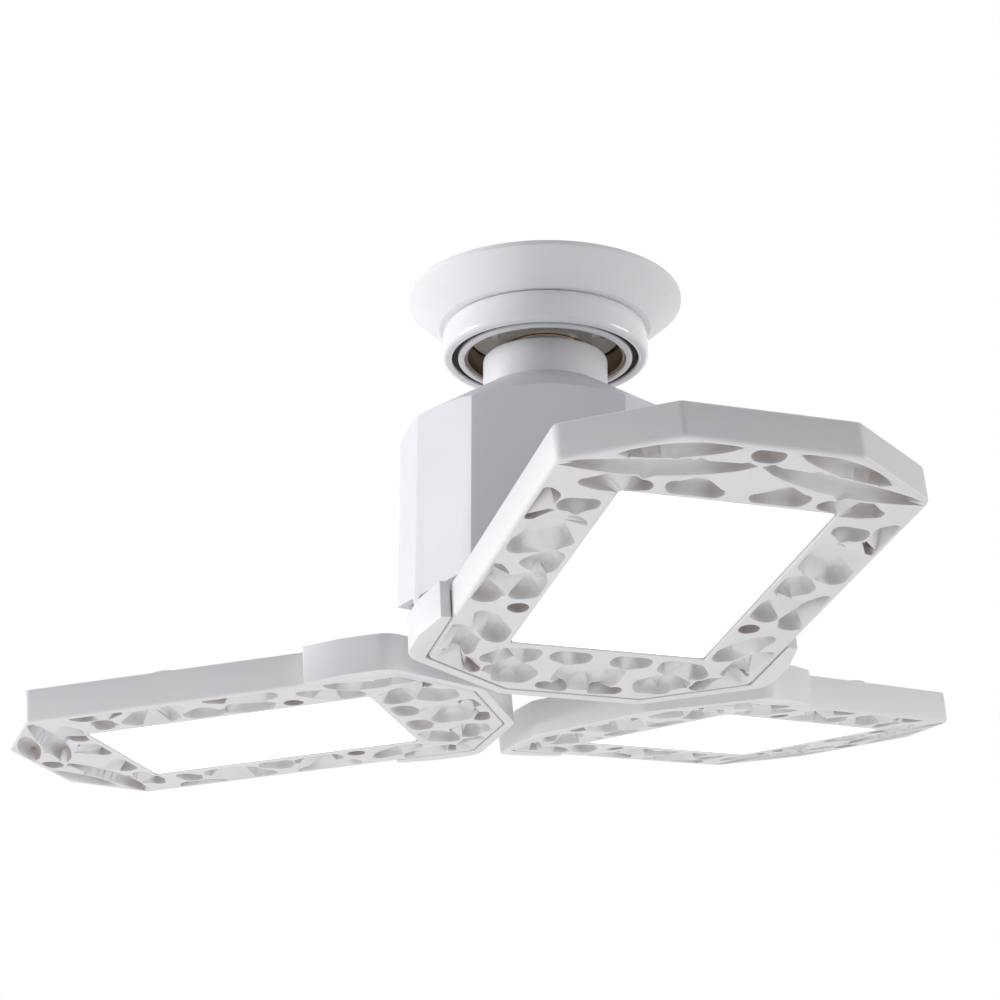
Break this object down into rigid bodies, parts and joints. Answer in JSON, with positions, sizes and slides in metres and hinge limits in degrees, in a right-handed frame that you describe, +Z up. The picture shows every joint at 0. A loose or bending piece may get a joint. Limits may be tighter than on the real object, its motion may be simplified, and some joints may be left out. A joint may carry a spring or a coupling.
{
  "type": "deformable garage light",
  "caption": "Ceiling garage light with tilting flat light panels on a faceted hub, screwed into a round lampholder",
  "frame": {"origin": "centre of the lampholder's rim on the ceiling plane, on the lamp's turning axis", "axes": "+Z up into the ceiling, so the light hangs below zero; -Y towards the viewer of the picture, +X to the viewer's right"},
  "size_m": [0.3069, 0.3141, 0.1568],
  "materials": {
    "canopy_white": "satin",
    "holder_white": "glossy",
    "seal_black": "matte",
    "ring_white": "satin",
    "liner_brass": "aged satin",
    "porcelain_white": "glazed",
    "contact_brass": "satin",
    "cap_metal": "polished",
    "insulator_black": "glossy",
    "neck_white": "satin",
    "housing_white": "satin",
    "carrier_white": "satin",
    "steel": "zinc plated",
    "board_green": "solder mask",
    "transformer_tape": "tape wound",
    "capacitor_black": "sleeved",
    "panel_white": "fine satin",
    "lens_milk": "translucent satin",
    "led_board_white": "white solder mask",
    "cover_white": "white powder coat",
    "bracket_white": "fine satin"
  },
  "bodies": {
    "lampholder": {"ceiling_canopy": "canopy_white", "holder_shell": "holder_white", "holder_seal": "seal_black", "holder_inner_ring": "ring_white", "holder_liner": "liner_brass", "socket_body": "porcelain_white", "socket_screw_shell": "contact_brass"},
    "contact_tongue": {"socket_contact": "contact_brass"},
    "lamp": {"cap_screw_shell": "cap_metal", "cap_insulator": "insulator_black", "cap_contact": "contact_brass", "neck_collar": "neck_white", "hub_housing": "housing_white", "hinge_carrier": "carrier_white", "carrier_screws": "steel", "driver_board": "board_green", "driver_transformer": "transformer_tape", "driver_capacitor": "capacitor_black", "hinge_pin_1": "steel", "friction_washer_1": "steel", "hinge_pin_2": "steel", "friction_washer_2": "steel", "hinge_pin_3": "steel", "friction_washer_3": "steel"},
    "panel_1": {"panel_frame_1": "panel_white", "panel_lens_1": "lens_milk", "led_board_1": "led_board_white", "back_cover_1": "cover_white", "hinge_bracket_1": "bracket_white", "bracket_screws_1": "steel"},
    "panel_2": {"panel_frame_2": "panel_white", "panel_lens_2": "lens_milk", "led_board_2": "led_board_white", "back_cover_2": "cover_white", "hinge_bracket_2": "bracket_white", "bracket_screws_2": "steel"},
    "panel_3": {"panel_frame_3": "panel_white", "panel_lens_3": "lens_milk", "led_board_3": "led_board_white", "back_cover_3": "cover_white", "hinge_bracket_3": "bracket_white", "bracket_screws_3": "steel"}
  },
  "joints": [
    {"name": "contact_follow", "type": "slide", "parent": "lampholder", "child": "contact_tongue", "axis": [0, 0, 1], "range_m": [-0.00122, 0]},
    {"name": "lamp_turn", "type": "hinge", "parent": "contact_tongue", "child": "lamp", "pos_m": [0, 0, 0], "axis": [0, 0, 1], "range_deg": [-120, 0]},
    {"name": "panel_1_tilt", "type": "hinge", "parent": "lamp", "child": "panel_1", "pos_m": [0.00924, -0.02896, -0.1173], "axis": [-0.9527, -0.304, 0], "range_deg": [-15.6, 50.4]},
    {"name": "panel_2_tilt", "type": "hinge", "parent": "lamp", "child": "panel_2", "pos_m": [0.02046, 0.02249, -0.1173], "axis": [0.7396, -0.673, 0], "range_deg": [-13, 53]},
    {"name": "panel_3_tilt", "type": "hinge", "parent": "lamp", "child": "panel_3", "pos_m": [-0.0297, 0.00648, -0.1173], "axis": [0.213, 0.977, 0], "range_deg": [-1.6, 64.4]}
  ],
  "couplings": [
    {"joint": "contact_follow", "follows": "lamp_turn", "m_per_rad": 0.0005776}
  ]
}
